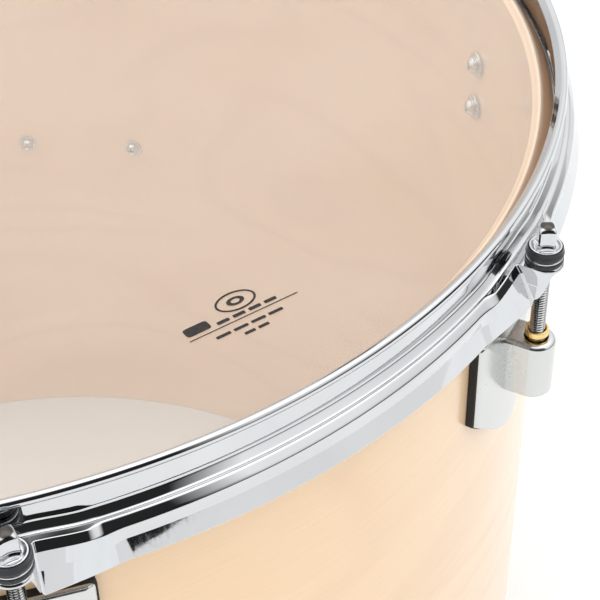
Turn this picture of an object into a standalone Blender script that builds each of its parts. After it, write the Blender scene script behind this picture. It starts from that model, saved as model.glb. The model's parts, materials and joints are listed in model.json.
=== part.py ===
"""A deep single-headed drum, 20 by 16 inches, tuned by eight key rods.

Metres, +Z up. The origin is at the centre of the shell's open bottom edge, the playing
head is on top. Lengths below are in millimetres and are turned into metres by MM.
Radii are measured from the drum's axis, and heights called "below" or "above" are
measured from the top of the counter hoop.
"""

import math

import bmesh
import bpy
from mathutils import Matrix, Vector

MM = 0.001
INCH = 25.4
GAP = 0.3  # clearance kept between touching pieces

# Shell
SHELL_OUTER = 10.0 * INCH
SHELL_HEIGHT = 16.0 * INCH
SHELL_WALL = 8.6
SHELL_INNER = SHELL_OUTER - SHELL_WALL
BEARING_PEAK = 247.8  # radius of the ridge that the head lies on
RING_STEPS = 72

# Head and hoop
HOOP_TOP = SHELL_HEIGHT + 12.0
HOOP_BEAD = 258.0
HOOP_WALL = 255.8
HOOP_INNER = 253.8
HOOP_SKIRT = 262.0
HOOP_LIP = 264.3
SHEET = 1.9  # thickness of the pressed steel
SHOULDER_BELOW = 14.8
PLATFORM_BELOW = 13.4  # of the ears' flat tops, which the washers stand on
WAIST_BELOW = 21.0
SKIRT_BELOW = 28.4

# Film: thickness, then the radius and height of each bend, from the flat head outwards
FILM = 0.3
FLAT_RADIUS, FLAT_HEIGHT = 243.8, SHELL_HEIGHT - 0.3
CREST_RADIUS, CREST_HEIGHT = 248.4, SHELL_HEIGHT + 0.4
BEND_RADIUS, BEND_HEIGHT = 253.1, SHELL_HEIGHT - 4.2
COLLAR_RADIUS, COLLAR_HEIGHT = 256.1, SHELL_HEIGHT - 7.2
HEM_RADIUS, HEM_HEIGHT = 256.5, SHELL_HEIGHT - 12.4

# Flesh hoop: a channel open upwards, which holds the film's hem
FLESH_INNER = 254.9
FLESH_OUTER = 259.2
FLESH_BASE = SHELL_HEIGHT - 15.2
FLESH_HEIGHT = 10.0
FLESH_INNER_HEIGHT = 7.4
FLESH_INNER_WALL = 1.1
FLESH_WALL = 1.6

# Rods and ears
EARS = 8
FIRST_EAR = 22.5
EAR_PITCH = 360.0 / EARS
ROD_CIRCLE = 268.0
ROD_RADIUS = 2.7
EAR_PAD = 6.6  # radius of the round pad at an ear's end
EAR_SWELL = 1.7  # how far the shoulder swells out beside the pad
EAR_SPREAD = 24.0  # distance along the rim over which an ear runs out
EAR_FLANK = 3.8  # how far the skirt's lower edge stands out beside the pad
FLANK_SPREAD = 33.6  # distance along the rim over which that edge runs back
WASHER_TOP_BELOW = 9.2
ROD_END_BELOW = 66.0
KEY_HALF = 3.0
KEY_TURN = 17.0  # degrees by which each key head stands round from the one before
NUT_TOP_BELOW = 42.8

# Lugs
LUG_HALF_WIDTH = 22.3
LUG_TOP_BELOW = 46.7
LUG_FOOT_TOP_BELOW = 40.5
LUG_SIDE_BELOW = 76.5
LUG_BOTTOM_BELOW = 91.5
LUG_CORNER = 2.0
LUG_BACK = 257.0
LUG_FRONT = 260.8
LUG_EDGE = 258.2
POST_RADIUS = 7.0
POST_BOTTOM_BELOW = 69.5
NUT_SHOULDER_BELOW = 54.2
SCREW_UPPER_BELOW = 58.0
SCREW_LOWER_BELOW = 80.0
GASKET_INNER = SHELL_OUTER + GAP
GASKET_OUTER = LUG_BACK - GAP
GASKET_MARGIN = 0.7

# Stand bracket, halfway down the shell and halfway between two lugs
BRACKET_AZIMUTH = 45.0
BRACKET_HEIGHT = 206.0
BOLT_SPACING = 66.0
BRACKET_HALF_WIDTH = 41.0
BRACKET_HALF_HEIGHT = 23.0
BOSS_HALF_WIDTH = 15.0
BOSS_HALF_HEIGHT = 20.0
BOSS_FRONT = 290.0
SOCKET_CIRCLE = 273.0
SOCKET_RADIUS = 6.8
POCKET_END = 285.0
PAD_START = 280.2

CHROME = ("chrome", (0.86, 0.87, 0.88), 0.08, 1.0)
STEEL = ("zinc_steel", (0.66, 0.66, 0.63), 0.28, 1.0)
BRASS = ("brass", (0.80, 0.60, 0.27), 0.22, 1.0)
ALUMINIUM = ("aluminium", (0.78, 0.78, 0.79), 0.30, 1.0)
BLACK = ("black_nylon", (0.03, 0.03, 0.03), 0.45, 0.0)
RUBBER = ("black_rubber", (0.025, 0.024, 0.023), 0.65, 0.0)
MAPLE = ("maple", (0.83, 0.62, 0.42), 0.35, 0.0)
FILM_FINISH = ("clear_film", (0.92, 0.91, 0.88), 0.08, 0.0)


def clear_scene():
    for item in list(bpy.data.objects):
        bpy.data.objects.remove(item, do_unlink=True)


def material(finish):
    name, colour, roughness, metallic = finish
    found = bpy.data.materials.get(name)
    if found:
        return found
    made = bpy.data.materials.new(name)
    made.use_nodes = True
    shader = made.node_tree.nodes["Principled BSDF"]
    shader.inputs["Base Color"].default_value = (*colour, 1.0)
    shader.inputs["Roughness"].default_value = roughness
    shader.inputs["Metallic"].default_value = metallic
    return made


def below(depth):
    """Height of a point this far below the hoop's top."""
    return HOOP_TOP - depth


def polar(radius, angle, height):
    return Vector((radius * math.cos(angle), radius * math.sin(angle), height))


def loft(rings, closed):
    """A mesh through rings of equally many points: a tube, capped unless it closes on itself."""
    shape = bmesh.new()
    loops = [[shape.verts.new(point * MM) for point in ring] for ring in rings]
    pairs = list(zip(loops, loops[1:]))
    if closed:
        pairs.append((loops[-1], loops[0]))
    else:
        shape.faces.new(loops[0])
        shape.faces.new(loops[-1])
    for low, high in pairs:
        for i in range(len(low)):
            j = (i + 1) % len(low)
            shape.faces.new((low[i], low[j], high[j], high[i]))
    bmesh.ops.recalc_face_normals(shape, faces=shape.faces)
    mesh = bpy.data.meshes.new("shape")
    shape.to_mesh(mesh)
    shape.free()
    mesh.shade_smooth()
    mesh.set_sharp_from_angle(angle=math.radians(32.0))
    return mesh


def add(name, mesh, finish, location=(0.0, 0.0, 0.0), azimuth=0.0):
    """A named object showing the mesh, turned about +Z by the azimuth in degrees."""
    item = bpy.data.objects.new(name, mesh)
    item.location = Vector(location) * MM
    item.rotation_euler.z = math.radians(azimuth)
    if not mesh.materials:
        mesh.materials.append(material(finish))
    bpy.context.collection.objects.link(item)
    return item


def combine(item, tool, operation):
    """Boolean of one object with a tool that stays hidden."""
    tool.hide_render = True
    tool.display_type = "WIRE"
    change = item.modifiers.new(operation.lower(), "BOOLEAN")
    change.operation = operation
    change.solver = "EXACT"
    change.object = tool


def baked(item, tools):
    """The object's evaluated mesh, with the object and its tools taken away again."""
    bpy.context.view_layer.update()
    graph = bpy.context.evaluated_depsgraph_get()
    mesh = bpy.data.meshes.new_from_object(item.evaluated_get(graph))
    for used in [item, *tools]:
        bpy.data.objects.remove(used, do_unlink=True)
    return mesh


def circle(radius, height, steps):
    turn = 2.0 * math.pi / steps
    return [polar(radius, turn * i, height) for i in range(steps)]


def turned(profile, steps, closed):
    """Radius and height pairs turned about Z; closed makes a ring with a hole through it."""
    return loft([circle(radius, height, steps) for radius, height in profile], closed)


def cylinder_tool(name, radius, start, end, steps=10):
    return add(name, turned([(radius, start), (radius, end)], steps, False), BLACK)


def radial_tool(name, radius, start, end, azimuth, height, steps=8):
    """A cylinder lying along a radius of the drum."""
    tool = cylinder_tool(name, radius, start, end, steps)
    tool.data.transform(Matrix.Rotation(math.radians(90.0), 4, "Y"))
    tool.location.z = height * MM
    tool.rotation_euler.z = math.radians(azimuth)
    return tool


def merged_tool(name, tools):
    """Several separate cutters as one object."""
    bpy.context.view_layer.update()
    shape = bmesh.new()
    for tool in tools:
        copy = tool.data.copy()
        copy.transform(tool.matrix_world)
        shape.from_mesh(copy)
        bpy.data.objects.remove(tool, do_unlink=True)
    mesh = bpy.data.meshes.new(name)
    shape.to_mesh(mesh)
    shape.free()
    return add(name, mesh, BLACK)


def ear_azimuths():
    return [FIRST_EAR + EAR_PITCH * i for i in range(EARS)]


def ring_angles():
    """Stations shared by all the plain rings, with one on every ear's centre."""
    step = 360.0 / RING_STEPS
    return [math.radians(FIRST_EAR + step * i) for i in range(RING_STEPS)]


def plain_ring(profile):
    rings = [[polar(radius, angle, height) for radius, height in profile] for angle in ring_angles()]
    return loft(rings, True)


def bolt_azimuths():
    swing = math.degrees(0.5 * BOLT_SPACING / SHELL_OUTER)
    return [BRACKET_AZIMUTH - swing, BRACKET_AZIMUTH + swing]


def build_shell():
    cut = SHELL_INNER + 1.0
    profile = [
        (cut, 0.0),
        (SHELL_OUTER - 1.0, 0.0),
        (SHELL_OUTER, 1.0),
        (SHELL_OUTER, SHELL_HEIGHT - 5.8),
        (BEARING_PEAK + 0.5, SHELL_HEIGHT - 0.2),
        (BEARING_PEAK - 0.2, SHELL_HEIGHT),
        (SHELL_INNER, SHELL_HEIGHT - 2.2),
        (SHELL_INNER, 1.0),
    ]
    shell = add("shell", plain_ring(profile), MAPLE)
    holes = []
    for azimuth in ear_azimuths():
        for depth in (SCREW_UPPER_BELOW, SCREW_LOWER_BELOW):
            holes.append((azimuth, below(depth)))
    holes += [(azimuth, BRACKET_HEIGHT) for azimuth in bolt_azimuths()]
    tools = [
        radial_tool("hole", 3.0 + GAP, SHELL_INNER - 5.0, SHELL_OUTER + 5.0, azimuth, height)
        for azimuth, height in holes
    ]
    combine(shell, merged_tool("shell_holes", tools), "DIFFERENCE")


def build_film():
    """A thin dish: flat head, low step up to the bearing edge, collar and skirt."""
    slant = 0.7 * FILM
    under = [
        (FLAT_RADIUS, FLAT_HEIGHT),
        (CREST_RADIUS, CREST_HEIGHT),
        (BEND_RADIUS, BEND_HEIGHT),
        (COLLAR_RADIUS, COLLAR_HEIGHT),
        (HEM_RADIUS, HEM_HEIGHT),
    ]
    over = [
        (HEM_RADIUS + FILM, HEM_HEIGHT),
        (COLLAR_RADIUS + FILM, COLLAR_HEIGHT + slant),
        (BEND_RADIUS + slant, BEND_HEIGHT + slant),
        (CREST_RADIUS, CREST_HEIGHT + FILM),
        (FLAT_RADIUS, FLAT_HEIGHT + FILM),
    ]
    rings = [[polar(radius, angle, height) for angle in ring_angles()] for radius, height in under + over]
    add("drumhead_film", loft(rings, False), FILM_FINISH)


def build_flesh_hoop():
    """The rolled channel that grips the film's skirt."""
    floor = FLESH_BASE + FLESH_WALL
    inner_top = FLESH_BASE + FLESH_INNER_HEIGHT
    profile = [
        (FLESH_INNER, FLESH_BASE),
        (FLESH_OUTER, FLESH_BASE),
        (FLESH_OUTER, FLESH_BASE + FLESH_HEIGHT),
        (FLESH_OUTER - FLESH_WALL, FLESH_BASE + FLESH_HEIGHT),
        (FLESH_OUTER - FLESH_WALL, floor),
        (FLESH_INNER + FLESH_INNER_WALL, floor),
        (FLESH_INNER + FLESH_INNER_WALL, inner_top),
        (FLESH_INNER, inner_top),
    ]
    add("flesh_hoop", plain_ring(profile), ALUMINIUM)


def smoothstep(low, high, value):
    share = min(1.0, max(0.0, (value - low) / (high - low)))
    return share * share * (3.0 - 2.0 * share)


def ear_pad(side):
    """How far the round pad reaches out of the skirt; nothing beside the pad."""
    if side > EAR_PAD:
        return 0.0
    return ROD_CIRCLE - HOOP_SKIRT + math.sqrt(EAR_PAD**2 - side**2)


def hoop_section(arc):
    """Radius and depth below the top, round the pressed sheet, at a distance from an ear's centre."""
    side = abs(arc)
    ear = 1.0 - smoothstep(EAR_PAD, EAR_SPREAD, side)
    shelf = SHOULDER_BELOW + ear * (PLATFORM_BELOW - SHOULDER_BELOW)
    tip = shelf + SHEET + 0.2
    foot = tip + smoothstep(0.6 * EAR_PAD, 1.15 * EAR_PAD, side) * (SKIRT_BELOW - tip)
    crease = shelf + (WAIST_BELOW - SHOULDER_BELOW) * (foot - shelf) / (SKIRT_BELOW - SHOULDER_BELOW)
    edge = max(ear_pad(side), EAR_SWELL * ear)
    flank = EAR_FLANK * min(1.0, max(0.0, (FLANK_SPREAD - side) / (FLANK_SPREAD - EAR_PAD)))
    hem = max(ear_pad(side), HOOP_LIP - HOOP_SKIRT + flank)
    waist = 0.5 * (edge + hem) * ear - 0.5 * (1.0 - ear)
    under = max(crease + 0.3, shelf + SHEET + 0.05)
    bend = min(2.0, 0.5 * (crease - shelf))
    inner = SHEET if foot > tip + 0.5 else 0.4
    return [
        (HOOP_INNER + 1.2, 0.9),
        (HOOP_BEAD - 1.4, 0.0),
        (HOOP_BEAD, 1.4),
        (HOOP_WALL, 3.4),
        (HOOP_WALL, 12.0),
        (HOOP_WALL + 2.0, shelf),
        (HOOP_SKIRT + edge - 1.0, shelf),
        (HOOP_SKIRT + edge, shelf + bend),
        (HOOP_SKIRT + waist, crease),
        (HOOP_SKIRT + hem, foot - 0.3),
        (HOOP_SKIRT + hem - inner, foot),
        (HOOP_SKIRT + waist - SHEET, under),
        (HOOP_SKIRT + edge - SHEET, shelf + SHEET),
        (HOOP_INNER + 0.8, shelf + SHEET),
        (HOOP_INNER, 3.0),
    ]


def hoop_stations():
    """Pairs of angle and distance from the nearest ear's centre, all the way round."""
    arcs = [EAR_PAD * share for share in (0.5, 0.72, 0.88, 0.99, 1.1)] + [12.0, 26.0]
    half = [math.degrees(arc / ROD_CIRCLE) for arc in arcs] + [10.0, 15.0, 20.0]
    steps = [-offset for offset in reversed(half)] + [0.0] + half
    stations = []
    for azimuth in ear_azimuths():
        for offset in steps:
            stations.append((math.radians(azimuth + offset), math.radians(offset) * ROD_CIRCLE))
    return stations


def build_counter_hoop():
    rings = [
        [polar(radius, angle, below(depth)) for radius, depth in hoop_section(arc)]
        for angle, arc in hoop_stations()
    ]
    hoop = add("counter_hoop", loft(rings, True), CHROME)
    tools = []
    for azimuth in ear_azimuths():
        tool = cylinder_tool("hole", ROD_RADIUS + 0.8, below(25.0), below(5.0), 10)
        tool.location = polar(ROD_CIRCLE, math.radians(azimuth), 0.0) * MM
        tools.append(tool)
    combine(hoop, merged_tool("hoop_holes", tools), "DIFFERENCE")


def round_or_square(size, height, square):
    """Eight points of a circle, or of a square of that half-width, on the rod's own axis."""
    points = circle(size, height, 8)
    if square:
        for corner in points[1::2]:
            corner.x, corner.y = math.copysign(size, corner.x), math.copysign(size, corner.y)
    return points


def rod_mesh():
    """Threaded shank, cupped flange and square key head, with the hoop's top at height 0."""
    sections = [
        (1.8, -ROD_END_BELOW, False),
        (ROD_RADIUS, 1.0 - ROD_END_BELOW, False),
        (ROD_RADIUS, GAP - WASHER_TOP_BELOW, False),
        (5.3, GAP - WASHER_TOP_BELOW, False),
        (5.6, 0.6 - WASHER_TOP_BELOW, False),
        (5.6, -7.3, False),
        (4.9, -7.1, False),
        (4.4, -8.0, False),
        (KEY_HALF, -8.0, True),
        (KEY_HALF, 0.0, True),
        (2.0, 1.2, True),
    ]
    return loft([round_or_square(*section) for section in sections], False)


def washer_mesh():
    """Steel washer below, tall black washer above, stacked under the rod's flange."""
    base, top = GAP - PLATFORM_BELOW, -WASHER_TOP_BELOW
    bore = ROD_RADIUS + 0.4
    profile = [
        (bore, base),
        (6.4, base),
        (6.4, top - 0.6),
        (5.9, top),
        (bore, top),
    ]
    return turned(profile, 8, True)


def nut_mesh():
    """Swivel nut: a neck that shows above the lug and a flange held inside it."""
    top, shoulder = -NUT_TOP_BELOW, -NUT_SHOULDER_BELOW - GAP
    bore = ROD_RADIUS + 0.3
    profile = [
        (bore, top),
        (4.2, top),
        (4.2, top - 2.4),
        (3.8, top - 3.0),
        (3.8, shoulder),
        (5.5, shoulder),
        (5.5, shoulder - 5.0),
        (bore, shoulder - 5.0),
    ]
    return turned(profile, 8, True)


def build_rods():
    rod, washer, nut = rod_mesh(), washer_mesh(), nut_mesh()
    for number, azimuth in enumerate(ear_azimuths(), 1):
        place = polar(ROD_CIRCLE, math.radians(azimuth), HOOP_TOP)
        add(f"tension_rod_{number}", rod, CHROME, place, azimuth + KEY_TURN * number)
        add(f"rod_washer_{number}", washer, BLACK, place, azimuth)
        add(f"swivel_nut_{number}", nut, BRASS, place, azimuth)


def on_shell(radius, arc, height):
    """A point this far along the shell's outer surface from azimuth 0."""
    return polar(radius, arc / SHELL_OUTER, height)


def lug_outline(arc, margin):
    """Top and bottom of the lug's foot at a distance from its middle: a rounded shield."""
    half = LUG_HALF_WIDTH + margin
    share = min(1.0, abs(arc) / half)
    top = below(LUG_FOOT_TOP_BELOW) + margin - (LUG_CORNER if share > 0.95 else 0.0)
    sag = LUG_BOTTOM_BELOW - LUG_SIDE_BELOW
    bottom = below(LUG_SIDE_BELOW) - margin - sag * (1.0 - share**1.4)
    return top, bottom


def lug_arcs(margin):
    half = LUG_HALF_WIDTH + margin
    sides = (-1.0, -0.9, -0.5, 0.0, 0.5, 0.9, 1.0)
    return [half * side for side in sides]


def lug_foot_mesh():
    rings = []
    for arc in lug_arcs(0.0):
        top, bottom = lug_outline(arc, 0.0)
        crown = LUG_FRONT - (LUG_FRONT - LUG_EDGE) * (arc / LUG_HALF_WIDTH) ** 2
        rim = crown - 0.9
        rings.append(
            [
                on_shell(LUG_BACK, arc, top),
                on_shell(rim, arc, top),
                on_shell(crown, arc, top - 1.2),
                on_shell(crown, arc, bottom + 2.5),
                on_shell(rim, arc, bottom),
                on_shell(LUG_BACK, arc, bottom),
            ]
        )
    return loft(rings, False)


def post_outline(height):
    """The post in plan: straight sides out of the foot and a round front."""
    points = [Vector((LUG_BACK + 2.0, -POST_RADIUS, height))]
    steps = 6
    for i in range(steps + 1):
        angle = math.pi * (i / steps - 0.5)
        points.append(Vector((ROD_CIRCLE, 0.0, 0.0)) + polar(POST_RADIUS, angle, height))
    points.append(Vector((LUG_BACK + 2.0, POST_RADIUS, height)))
    return points


def lug_mesh():
    foot = add("foot", lug_foot_mesh(), CHROME)
    low, high = below(POST_BOTTOM_BELOW), below(LUG_TOP_BELOW)
    post = add("post", loft([post_outline(low), post_outline(high)], False), CHROME)
    ledge = below(NUT_SHOULDER_BELOW)
    neck = cylinder_tool("neck", 4.3, ledge - 1.0, high + 5.0)
    chamber = cylinder_tool("chamber", 5.8, low - 5.0, ledge)
    for tool in (neck, chamber):
        tool.location.x = ROD_CIRCLE * MM
    tools = [post, neck, chamber]
    combine(foot, post, "UNION")
    combine(foot, neck, "DIFFERENCE")
    combine(foot, chamber, "DIFFERENCE")
    for depth in (SCREW_UPPER_BELOW, SCREW_LOWER_BELOW):
        tool = radial_tool("screw_hole", 2.4 + GAP, LUG_BACK - 5.0, LUG_FRONT - 1.6, 0.0, below(depth))
        combine(foot, tool, "DIFFERENCE")
        tools.append(tool)
    return baked(foot, tools)


def lug_gasket_mesh():
    rings = []
    for arc in lug_arcs(GASKET_MARGIN):
        top, bottom = lug_outline(arc, GASKET_MARGIN)
        corners = [(GASKET_INNER, top), (GASKET_OUTER, top), (GASKET_OUTER, bottom), (GASKET_INNER, bottom)]
        rings.append([on_shell(radius, arc, height) for radius, height in corners])
    gasket = add("gasket", loft(rings, False), RUBBER)
    tools = []
    for depth in (SCREW_UPPER_BELOW, SCREW_LOWER_BELOW):
        tool = radial_tool("screw_hole", 3.0, SHELL_INNER, LUG_BACK + 5.0, 0.0, below(depth))
        combine(gasket, tool, "DIFFERENCE")
        tools.append(tool)
    return baked(gasket, tools)


def fastener_mesh(sections):
    """Radius and distance pairs along a radius of the drum, as one solid lying along X."""
    mesh = turned(sections, 8, False)
    mesh.transform(Matrix.Rotation(math.radians(90.0), 4, "Y"))
    return mesh


def lug_screw_mesh():
    """Round-headed screw with its washer pressed on."""
    seat = SHELL_INNER - 2.0 * GAP
    sections = [
        (2.6, seat - 4.4),
        (3.9, seat - 3.4),
        (3.9, seat - 1.2),
        (5.8, seat - 1.2),
        (5.8, seat),
        (2.4, seat),
        (2.4, LUG_FRONT - 2.0),
    ]
    return fastener_mesh(sections)


def build_lugs():
    lug, gasket, screw = lug_mesh(), lug_gasket_mesh(), lug_screw_mesh()
    screw_height = (0.0, 0.0, below(SCREW_LOWER_BELOW))
    for number, azimuth in enumerate(ear_azimuths(), 1):
        add(f"lug_casting_{number}", lug, CHROME, azimuth=azimuth)
        add(f"lug_gasket_{number}", gasket, RUBBER, azimuth=azimuth)
        add(f"lug_screw_{number}", screw, STEEL, screw_height, azimuth)


def bracket_plate_mesh(inner, outer, margin):
    """A rounded rectangle bent round the shell, centred on azimuth 0 and height 0."""
    half_width = BRACKET_HALF_WIDTH + margin
    rings = []
    for side in (-1.0, -0.93, -0.62, -0.31, 0.0, 0.31, 0.62, 0.93, 1.0):
        arc = half_width * side
        top = BRACKET_HALF_HEIGHT + margin - (4.0 if abs(side) > 0.99 else 0.0)
        corners = [(inner, top), (outer, top), (outer, -top), (inner, -top)]
        rings.append([on_shell(radius, arc, height) for radius, height in corners])
    return loft(rings, False)


def boss_outline(height):
    corner = 6.0
    plan = [
        (LUG_BACK + 1.5, BOSS_HALF_WIDTH),
        (LUG_BACK + 1.5, -BOSS_HALF_WIDTH),
        (BOSS_FRONT - corner, -BOSS_HALF_WIDTH),
        (BOSS_FRONT, corner - BOSS_HALF_WIDTH),
        (BOSS_FRONT, BOSS_HALF_WIDTH - corner),
        (BOSS_FRONT - corner, BOSS_HALF_WIDTH),
    ]
    return [Vector((x, y, height)) for x, y in plan]


def bolt_holes(radius, start, end):
    swing = 0.5 * (bolt_azimuths()[1] - bolt_azimuths()[0])
    return [radial_tool("bolt_hole", radius, start, end, side * swing, 0.0) for side in (-1.0, 1.0)]


def bracket_body_mesh():
    body = add("plate", bracket_plate_mesh(LUG_BACK, LUG_FRONT, 0.0), CHROME)
    ends = [boss_outline(-BOSS_HALF_HEIGHT), boss_outline(BOSS_HALF_HEIGHT)]
    boss = add("boss", loft(ends, False), CHROME)
    socket = cylinder_tool("socket", SOCKET_RADIUS, -30.0, 30.0, 16)
    socket.location.x = SOCKET_CIRCLE * MM
    pocket = radial_tool("pocket", 5.0, SOCKET_CIRCLE, POCKET_END, 0.0, 0.0, 12)
    thread = radial_tool("thread", 3.3, POCKET_END - 2.0, BOSS_FRONT + 5.0, 0.0, 0.0, 12)
    holes = bolt_holes(2.4 + GAP, LUG_BACK - 5.0, LUG_FRONT - 1.4)
    combine(body, boss, "UNION")
    tools = [socket, pocket, thread, *holes]
    for tool in tools:
        combine(body, tool, "DIFFERENCE")
    return baked(body, [boss, *tools])


def bracket_gasket_mesh():
    gasket = add("gasket", bracket_plate_mesh(GASKET_INNER, GASKET_OUTER, GASKET_MARGIN), RUBBER)
    holes = bolt_holes(3.0, SHELL_INNER, LUG_BACK + 5.0)
    for hole in holes:
        combine(gasket, hole, "DIFFERENCE")
    return baked(gasket, holes)


def bracket_bolt_mesh(washer_under):
    head = washer_under - GAP
    sections = [
        (2.4, head - 2.8),
        (3.6, head - 2.0),
        (3.6, head),
        (2.4, head),
        (2.4, LUG_FRONT - 1.8),
    ]
    return fastener_mesh(sections)


def wing_screw_mesh():
    """Shank, hub and two upright wings in one piece, lying along X."""
    shank = [
        (2.95, PAD_START + 3.3),
        (2.95, BOSS_FRONT + 5.0),
        (5.4, BOSS_FRONT + 5.6),
        (5.8, BOSS_FRONT + 9.0),
        (4.6, BOSS_FRONT + 12.0),
    ]
    screw = add("screw", turned(shank, 12, False), CHROME)
    screw.data.transform(Matrix.Rotation(math.radians(90.0), 4, "Y"))
    side = [(6.5, -3.0), (7.0, -3.0), (9.0, -15.0), (13.0, -18.0), (16.0, -15.0), (11.5, -3.0)]
    outline = side + [(x, -z) for x, z in reversed(side)]
    plates = [[Vector((BOSS_FRONT + x, y, z)) for x, z in outline] for y in (-1.6, 1.6)]
    wings = add("wings", loft(plates, False), CHROME)
    combine(screw, wings, "UNION")
    return baked(screw, [wings])


def build_bracket():
    height = (0.0, 0.0, BRACKET_HEIGHT)
    add("bracket_body", bracket_body_mesh(), CHROME, height, BRACKET_AZIMUTH)
    add("bracket_gasket", bracket_gasket_mesh(), RUBBER, height, BRACKET_AZIMUTH)
    seat = SHELL_INNER - 2.0 * GAP
    washer_under = seat - 1.2
    bolt = bracket_bolt_mesh(washer_under)
    ring = [(2.7, washer_under), (4.8, washer_under), (4.8, seat), (2.7, seat)]
    washer = turned(ring, 12, True)
    washer.transform(Matrix.Rotation(math.radians(90.0), 4, "Y"))
    for number, azimuth in enumerate(bolt_azimuths(), 1):
        add(f"bracket_bolt_{number}", bolt, STEEL, height, azimuth)
        add(f"bracket_washer_{number}", washer, STEEL, height, azimuth)
    pad = fastener_mesh([(4.6, PAD_START), (4.6, PAD_START + 3.0)])
    add("clamp_pad", pad, STEEL, height, BRACKET_AZIMUTH)
    add("wing_screw", wing_screw_mesh(), CHROME, height, BRACKET_AZIMUTH)


def main():
    clear_scene()
    build_shell()
    build_film()
    build_flesh_hoop()
    build_counter_hoop()
    build_rods()
    build_lugs()
    build_bracket()


main()
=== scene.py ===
"""Looks of a deep single-headed drum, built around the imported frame.

Metres, +Z up, in the part's own frame. Lengths below are in millimetres and are turned into metres
by MM. Radii are measured from the drum's axis, and depths downwards from the counter hoop's top.
"""

import json
import math

import bmesh
import bpy
import numpy as np
from mathutils import Matrix, Vector


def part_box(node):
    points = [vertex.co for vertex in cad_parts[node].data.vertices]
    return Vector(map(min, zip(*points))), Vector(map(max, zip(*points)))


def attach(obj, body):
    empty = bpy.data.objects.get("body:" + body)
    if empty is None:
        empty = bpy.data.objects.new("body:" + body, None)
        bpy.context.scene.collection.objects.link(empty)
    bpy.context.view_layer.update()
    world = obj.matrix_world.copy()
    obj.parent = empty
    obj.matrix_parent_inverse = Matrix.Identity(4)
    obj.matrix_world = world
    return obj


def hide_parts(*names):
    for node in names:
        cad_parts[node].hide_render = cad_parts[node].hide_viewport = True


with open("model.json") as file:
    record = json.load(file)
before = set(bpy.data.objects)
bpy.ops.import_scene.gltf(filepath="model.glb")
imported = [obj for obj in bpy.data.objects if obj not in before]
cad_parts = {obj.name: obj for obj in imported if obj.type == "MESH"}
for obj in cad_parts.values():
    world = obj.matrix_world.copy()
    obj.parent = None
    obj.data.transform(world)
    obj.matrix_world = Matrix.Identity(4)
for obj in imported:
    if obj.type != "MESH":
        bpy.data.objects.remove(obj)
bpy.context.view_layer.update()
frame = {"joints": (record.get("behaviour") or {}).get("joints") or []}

MM = 0.001
JOINTS = {joint["name"]: joint for joint in frame["joints"]}

# Heights and places that the frame gives
HOOP_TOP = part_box("counter_hoop")[1].z / MM
SHELL_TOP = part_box("shell")[1].z / MM
ROD_JOINTS = [JOINTS[f"rod_{number}_turn"] for number in range(1, 9)]
ROD_PLACES = [Vector(joint["pos_m"]) / MM for joint in ROD_JOINTS]
ROD_AZIMUTHS = [math.atan2(place.y, place.x) for place in ROD_PLACES]
WING_PLACE = Vector(JOINTS["wing_screw_turn"]["pos_m"]) / MM
BRACKET_AZIMUTH = math.atan2(WING_PLACE.y, WING_PLACE.x)
BRACKET_HEIGHT = WING_PLACE.z
ROD_CIRCLE = ROD_PLACES[0].xy.length

# Shell
SHELL_OUTER = 254.0
SHELL_INNER = 245.4
BEARING_PEAK = 247.8
PLIES = 8
RING_STEPS = 320

# Hoop
BEAD = 258.0
HOOP_WALL = 255.8
HOOP_INNER = 253.8
SKIRT = 262.0
LIP = 264.3
SHEET = 1.9
SHOULDER = 14.8
PLATFORM = 13.4
WAIST = 22.0
FOOT = 28.4
EAR_PAD = 6.6
EAR_SWELL = 1.7
EAR_SPREAD = 24.0
EAR_FLANK = 3.8
FLANK_SPREAD = 33.6
ROOT = 0.7
GROOVE_RADIUS = 260.9
GROOVE_WIDTH = 1.75
GROOVE_DROP = 2.7

# Rod and washers, as depths from the hoop's top
ROD_RADIUS = 2.75
PITCH = 25.4 / 24.0
ROD_END = 66.0
KEY_HALF = 2.95
KEY_TURN = math.radians(17.0)
FLANGE_TOP = 7.1
WASHER_TOP = 9.2
NUT_TOP = 42.8

# Lug
LUG_HALF_WIDTH = 22.3
LUG_TOP = 46.7
LUG_FOOT_TOP = 40.5
LUG_SIDE = 76.5
LUG_BOTTOM = 91.5
LUG_BACK = 257.0
LUG_FRONT = 260.8
LUG_EDGE = 258.2
POST_RADIUS = 7.0
POST_BOTTOM = 69.5
NUT_SHOULDER = 54.2
SCREW_DEPTHS = (58.0, 80.0)
GASKET_INNER = 254.1
GASKET_OUTER = 256.9
GASKET_MARGIN = 0.7


# ---------------------------------------------------------------- mesh tools


def smoothstep(low, high, value):
    share = min(1.0, max(0.0, (value - low) / (high - low)))
    return share * share * (3.0 - 2.0 * share)


def rounded(corners, closed=True, steps=4):
    """Corners (x, y, radius) as an outline in which each corner is eased into a curve."""
    outline = []
    count = len(corners)
    for i, (x, y, radius) in enumerate(corners):
        here = Vector((x, y))
        if radius == 0.0 or (not closed and i in (0, count - 1)):
            outline.append(here)
            continue
        before = Vector(corners[i - 1][:2]) - here
        after = Vector(corners[(i + 1) % count][:2]) - here
        room = 0.48 * min(before.length, after.length)
        reach = min(room, max(0.1 * room, radius / math.tan(0.5 * before.angle(after))))
        start, end = here + before.normalized() * reach, here + after.normalized() * reach
        for k in range(steps + 1):
            t = k / steps
            outline.append(start * (1 - t) ** 2 + here * 2 * t * (1 - t) + end * t**2)
    return [(point.x, point.y) for point in outline]


def finished(mesh, sharp=38.0):
    """The mesh with its faces pointing out, smooth but for its sharp edges."""
    shape = bmesh.new()
    shape.from_mesh(mesh)
    bmesh.ops.recalc_face_normals(shape, faces=shape.faces)
    shape.to_mesh(mesh)
    shape.free()
    mesh.shade_smooth()
    mesh.set_sharp_from_angle(angle=math.radians(sharp))
    return mesh


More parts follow.
